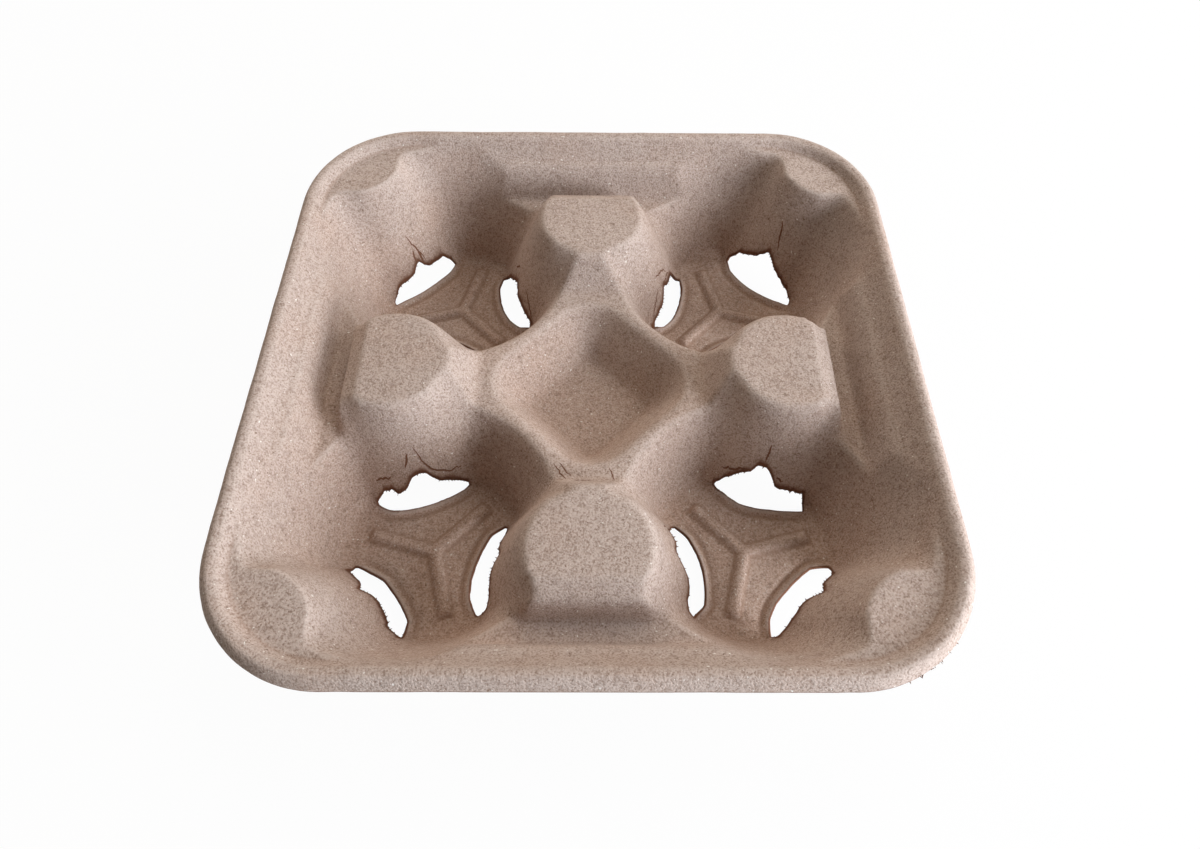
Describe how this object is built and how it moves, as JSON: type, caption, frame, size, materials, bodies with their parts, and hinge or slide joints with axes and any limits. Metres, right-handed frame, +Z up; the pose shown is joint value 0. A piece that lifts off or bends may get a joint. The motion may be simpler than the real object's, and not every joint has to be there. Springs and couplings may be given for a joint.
{
  "type": "cup carrier",
  "caption": "Square moulded-pulp drinks carrier with a tapered cup pocket in each corner, raised posts between them, a sunk basin in the middle and a rolled rim.",
  "frame": {"origin": "on the ground plane under the tray's centre", "axes": "+Z up; +X and +Y towards two sides of the square, -Y towards the viewer of the picture"},
  "size_m": [0.21, 0.21, 0.048],
  "materials": {
    "pulp": "rough matt pulp"
  },
  "bodies": {
    "root": {"cup_carrier": "pulp"}
  },
  "joints": []
}
